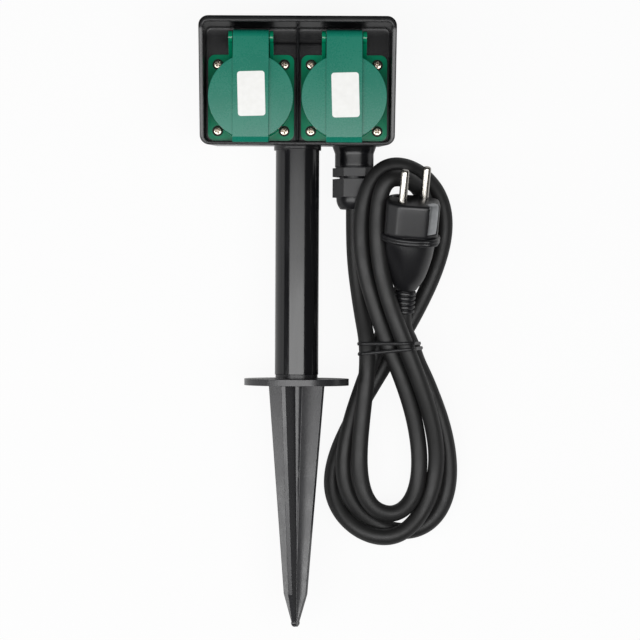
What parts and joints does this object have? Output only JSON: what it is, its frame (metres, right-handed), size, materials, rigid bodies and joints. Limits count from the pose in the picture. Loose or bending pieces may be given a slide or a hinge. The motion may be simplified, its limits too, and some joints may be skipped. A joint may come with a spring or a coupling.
{
  "type": "garden socket",
  "caption": "Garden power post with two spring-lidded outlets under a rain visor, on a round post with a ground spike, with its cord tied in a hank and an earthed plug.",
  "frame": {"origin": "in the rear plane, on the line of the post, halfway along the whole length", "axes": "+Y along the post from the spike's tip to the visor, +Z out of the outlets, +X to the right seen from the front"},
  "size_m": [0.1512, 0.35, 0.0661],
  "materials": {
    "black_moulding": "semi-gloss black moulding",
    "cover_plastic": "satin black",
    "seal_rubber": "soft black",
    "screw_steel": "nickel plated",
    "post_plastic": "polished black",
    "spike_plastic": "satin dark grey",
    "gland_plastic": "satin black",
    "core_insulation": "smooth insulation",
    "cord_rubber": "matt black rubber",
    "tie_plastic": "thin plastic-coated wire",
    "plug_rubber": "moulded black rubber",
    "pin_nickel": "nickel plated brass",
    "plate_green": "glossy green",
    "insulating_block": "mineral-filled plastic",
    "contact_brass": "plain brass",
    "lid_green": "glossy sea green",
    "pin_steel": "stainless steel"
  },
  "bodies": {
    "base": {"housing": "black_moulding", "rear_cover": "cover_plastic", "rear_gasket": "seal_rubber", "rear_screws": "screw_steel", "post": "post_plastic", "ground_spike": "spike_plastic", "gland_body": "gland_plastic", "gland_seal": "seal_rubber", "gland_nut": "gland_plastic", "inner_leads": "core_insulation", "cord_gland_run": "cord_rubber", "cord_hank": "cord_rubber", "cord_plug_run": "cord_rubber", "cord_tie": "tie_plastic", "plug_body": "plug_rubber", "plug_pins": "pin_nickel", "plug_earth_contacts": "pin_nickel", "socket_plate_left": "plate_green", "plate_gasket_left": "seal_rubber", "plate_screws_left": "screw_steel", "contact_block_left": "insulating_block", "contact_sleeves_left": "contact_brass", "earth_clips_left": "contact_brass", "hinge_pin_left": "pin_steel", "lid_spring_left": "pin_steel", "socket_plate_right": "plate_green", "plate_gasket_right": "seal_rubber", "plate_screws_right": "screw_steel", "contact_block_right": "insulating_block", "contact_sleeves_right": "contact_brass", "earth_clips_right": "contact_brass", "hinge_pin_right": "pin_steel", "lid_spring_right": "pin_steel"},
    "lid_left": {"lid_left": "lid_green", "lid_seal_left": "seal_rubber"},
    "lid_right": {"lid_right": "lid_green", "lid_seal_right": "seal_rubber"}
  },
  "joints": [
    {"name": "lid_left_hinge", "type": "hinge", "parent": "base", "child": "lid_left", "pos_m": [-0.0266, 0.1637, 0.0578], "axis": [-1, 0, 0], "range_deg": [0, 105], "stiffness_Nm_per_rad": 0.004, "springref_deg": -28.65},
    {"name": "lid_right_hinge", "type": "hinge", "parent": "base", "child": "lid_right", "pos_m": [0.0266, 0.1637, 0.0578], "axis": [-1, 0, 0], "range_deg": [0, 105], "stiffness_Nm_per_rad": 0.004, "springref_deg": -28.65}
  ]
}
